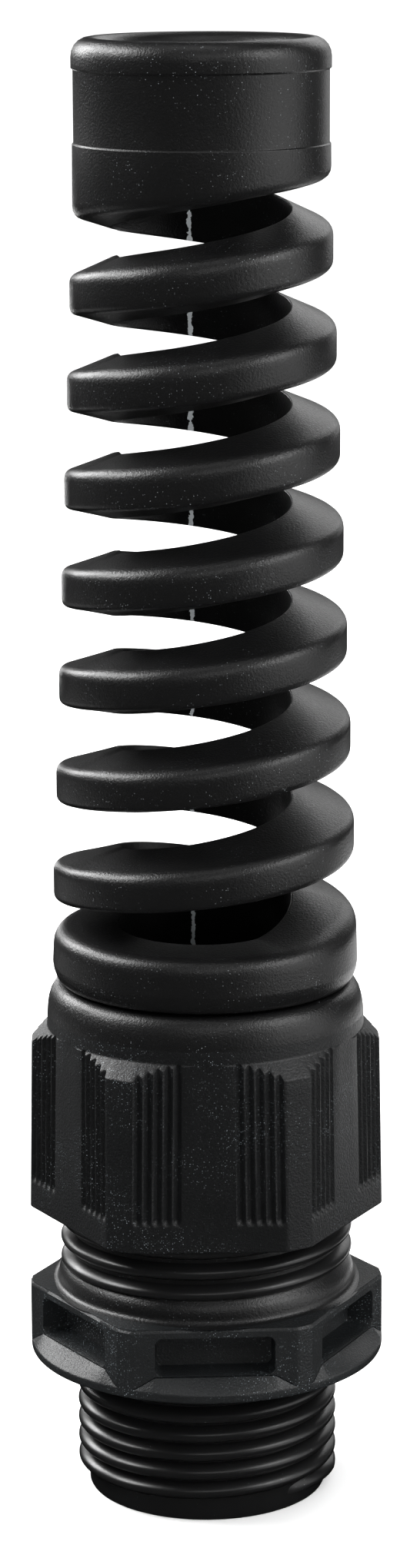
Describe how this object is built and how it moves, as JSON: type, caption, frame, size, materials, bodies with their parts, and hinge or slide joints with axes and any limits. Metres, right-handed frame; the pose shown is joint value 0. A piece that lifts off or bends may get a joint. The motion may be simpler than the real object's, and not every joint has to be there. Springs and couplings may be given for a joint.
{
  "type": "cable gland with spiral strain relief",
  "caption": "Plastic cable gland: threaded body with hexagonal flange, cap nut with grip ribs, and a flexible spiral bend guard that ends in a smooth round ring.",
  "frame": {"origin": "centre of the connection thread's end face, at the lowest point of the part", "axes": "+Z along the gland's axis from the thread towards the spiral's end ring; the joints of the spiral turn about +Y; a flat of the cap nut faces -Y"},
  "size_m": [0.027, 0.027, 0.1104],
  "materials": {
    "body": "black glass-smooth polyamide threads, finely textured hexagon",
    "nut": "black polyamide with a fine spark-eroded texture",
    "spiral": "black satin polyamide",
    "seal": "matt black neoprene"
  },
  "bodies": {
    "gland": {"gland_body": "body", "sealing_grommet": "seal"},
    "spiral_base": {"spiral_collar": "spiral"},
    "nut": {"cap_nut": "nut"},
    "finger_01": {"clamp_finger_01": "body"},
    "finger_02": {"clamp_finger_02": "body"},
    "finger_03": {"clamp_finger_03": "body"},
    "finger_04": {"clamp_finger_04": "body"},
    "finger_05": {"clamp_finger_05": "body"},
    "finger_06": {"clamp_finger_06": "body"},
    "finger_07": {"clamp_finger_07": "body"},
    "finger_08": {"clamp_finger_08": "body"},
    "finger_09": {"clamp_finger_09": "body"},
    "finger_10": {"clamp_finger_10": "body"},
    "finger_11": {"clamp_finger_11": "body"},
    "finger_12": {"clamp_finger_12": "body"},
    "coil_01": {"spiral_turn_01": "spiral"},
    "coil_02": {"spiral_turn_02": "spiral"},
    "coil_03": {"spiral_turn_03": "spiral"},
    "coil_04": {"spiral_turn_04": "spiral"},
    "coil_05": {"spiral_turn_05": "spiral"},
    "coil_06": {"spiral_turn_06": "spiral"},
    "coil_07": {"spiral_turn_07": "spiral"},
    "end_ring": {"spiral_end_ring": "spiral"}
  },
  "joints": [
    {"name": "nut_travel", "type": "slide", "parent": "gland", "child": "spiral_base", "axis": [0, 0, 1], "range_m": [-0.0045, 0], "deforming": ["sealing_grommet"]},
    {"name": "nut_turn", "type": "hinge", "parent": "spiral_base", "child": "nut", "pos_m": [0, 0, 0.0306], "axis": [0, 0, 1], "range_deg": [-982, 0]},
    {"name": "finger_bend_01", "type": "hinge", "parent": "gland", "child": "finger_01", "pos_m": [0.00915, 0.00245, 0.0268], "axis": [0.2588, -0.9659, 0], "range_deg": [0, 14.2]},
    {"name": "finger_bend_02", "type": "hinge", "parent": "gland", "child": "finger_02", "pos_m": [0.0067, 0.0067, 0.0268], "axis": [0.7071, -0.7071, 0], "range_deg": [0, 14.2]},
    {"name": "finger_bend_03", "type": "hinge", "parent": "gland", "child": "finger_03", "pos_m": [0.00245, 0.00915, 0.0268], "axis": [0.9659, -0.2588, 0], "range_deg": [0, 14.2]},
    {"name": "finger_bend_04", "type": "hinge", "parent": "gland", "child": "finger_04", "pos_m": [-0.00245, 0.00915, 0.0268], "axis": [0.9659, 0.2588, 0], "range_deg": [0, 14.2]},
    {"name": "finger_bend_05", "type": "hinge", "parent": "gland", "child": "finger_05", "pos_m": [-0.0067, 0.0067, 0.0268], "axis": [0.7071, 0.7071, 0], "range_deg": [0, 14.2]},
    {"name": "finger_bend_06", "type": "hinge", "parent": "gland", "child": "finger_06", "pos_m": [-0.00915, 0.00245, 0.0268], "axis": [0.2588, 0.9659, 0], "range_deg": [0, 14.2]},
    {"name": "finger_bend_07", "type": "hinge", "parent": "gland", "child": "finger_07", "pos_m": [-0.00915, -0.00245, 0.0268], "axis": [-0.2588, 0.9659, 0], "range_deg": [0, 14.2]},
    {"name": "finger_bend_08", "type": "hinge", "parent": "gland", "child": "finger_08", "pos_m": [-0.0067, -0.0067, 0.0268], "axis": [-0.7071, 0.7071, 0], "range_deg": [0, 14.2]},
    {"name": "finger_bend_09", "type": "hinge", "parent": "gland", "child": "finger_09", "pos_m": [-0.00245, -0.00915, 0.0268], "axis": [-0.9659, 0.2588, 0], "range_deg": [0, 14.2]},
    {"name": "finger_bend_10", "type": "hinge", "parent": "gland", "child": "finger_10", "pos_m": [0.00245, -0.00915, 0.0268], "axis": [-0.9659, -0.2588, 0], "range_deg": [0, 14.2]},
    {"name": "finger_bend_11", "type": "hinge", "parent": "gland", "child": "finger_11", "pos_m": [0.0067, -0.0067, 0.0268], "axis": [-0.7071, -0.7071, 0], "range_deg": [0, 14.2]},
    {"name": "finger_bend_12", "type": "hinge", "parent": "gland", "child": "finger_12", "pos_m": [0.00915, -0.00245, 0.0268], "axis": [-0.2588, -0.9659, 0], "range_deg": [0, 14.2]},
    {"name": "spiral_bend_01", "type": "hinge", "parent": "spiral_base", "child": "coil_01", "pos_m": [0, 0, 0.04621], "axis": [0, 1, 0], "range_deg": [-8, 8], "stiffness_Nm_per_rad": 0.08},
    {"name": "spiral_bend_02", "type": "hinge", "parent": "coil_01", "child": "coil_02", "pos_m": [0, 0, 0.05377], "axis": [0, 1, 0], "range_deg": [-8, 8], "stiffness_Nm_per_rad": 0.08},
    {"name": "spiral_bend_03", "type": "hinge", "parent": "coil_02", "child": "coil_03", "pos_m": [0, 0, 0.06125], "axis": [0, 1, 0], "range_deg": [-8, 8], "stiffness_Nm_per_rad": 0.08},
    {"name": "spiral_bend_04", "type": "hinge", "parent": "coil_03", "child": "coil_04", "pos_m": [0, 0, 0.06865], "axis": [0, 1, 0], "range_deg": [-8, 8], "stiffness_Nm_per_rad": 0.08},
    {"name": "spiral_bend_05", "type": "hinge", "parent": "coil_04", "child": "coil_05", "pos_m": [0, 0, 0.07596], "axis": [0, 1, 0], "range_deg": [-8, 8], "stiffness_Nm_per_rad": 0.08},
    {"name": "spiral_bend_06", "type": "hinge", "parent": "coil_05", "child": "coil_06", "pos_m": [0, 0, 0.08318], "axis": [0, 1, 0], "range_deg": [-8, 8], "stiffness_Nm_per_rad": 0.08},
    {"name": "spiral_bend_07", "type": "hinge", "parent": "coil_06", "child": "coil_07", "pos_m": [0, 0, 0.09033], "axis": [0, 1, 0], "range_deg": [-8, 8], "stiffness_Nm_per_rad": 0.08},
    {"name": "spiral_bend_08", "type": "hinge", "parent": "coil_07", "child": "end_ring", "pos_m": [0, 0, 0.09739], "axis": [0, 1, 0], "range_deg": [-8, 8], "stiffness_Nm_per_rad": 0.08}
  ],
  "couplings": [
    {"joint": "nut_turn", "follows": "nut_travel", "rad_per_m": 3808},
    {"joint": "finger_bend_01", "follows": "nut_travel", "rad_per_m": -54.299},
    {"joint": "finger_bend_02", "follows": "nut_travel", "rad_per_m": -54.299},
    {"joint": "finger_bend_03", "follows": "nut_travel", "rad_per_m": -54.299},
    {"joint": "finger_bend_04", "follows": "nut_travel", "rad_per_m": -54.299},
    {"joint": "finger_bend_05", "follows": "nut_travel", "rad_per_m": -54.299},
    {"joint": "finger_bend_06", "follows": "nut_travel", "rad_per_m": -54.299},
    {"joint": "finger_bend_07", "follows": "nut_travel", "rad_per_m": -54.299},
    {"joint": "finger_bend_08", "follows": "nut_travel", "rad_per_m": -54.299},
    {"joint": "finger_bend_09", "follows": "nut_travel", "rad_per_m": -54.299},
    {"joint": "finger_bend_10", "follows": "nut_travel", "rad_per_m": -54.299},
    {"joint": "finger_bend_11", "follows": "nut_travel", "rad_per_m": -54.299},
    {"joint": "finger_bend_12", "follows": "nut_travel", "rad_per_m": -54.299},
    {"joint": "spiral_bend_02", "follows": "spiral_bend_01", "ratio": 1},
    {"joint": "spiral_bend_03", "follows": "spiral_bend_01", "ratio": 1},
    {"joint": "spiral_bend_04", "follows": "spiral_bend_01", "ratio": 1},
    {"joint": "spiral_bend_05", "follows": "spiral_bend_01", "ratio": 1},
    {"joint": "spiral_bend_06", "follows": "spiral_bend_01", "ratio": 1},
    {"joint": "spiral_bend_07", "follows": "spiral_bend_01", "ratio": 1},
    {"joint": "spiral_bend_08", "follows": "spiral_bend_01", "ratio": 1}
  ]
}
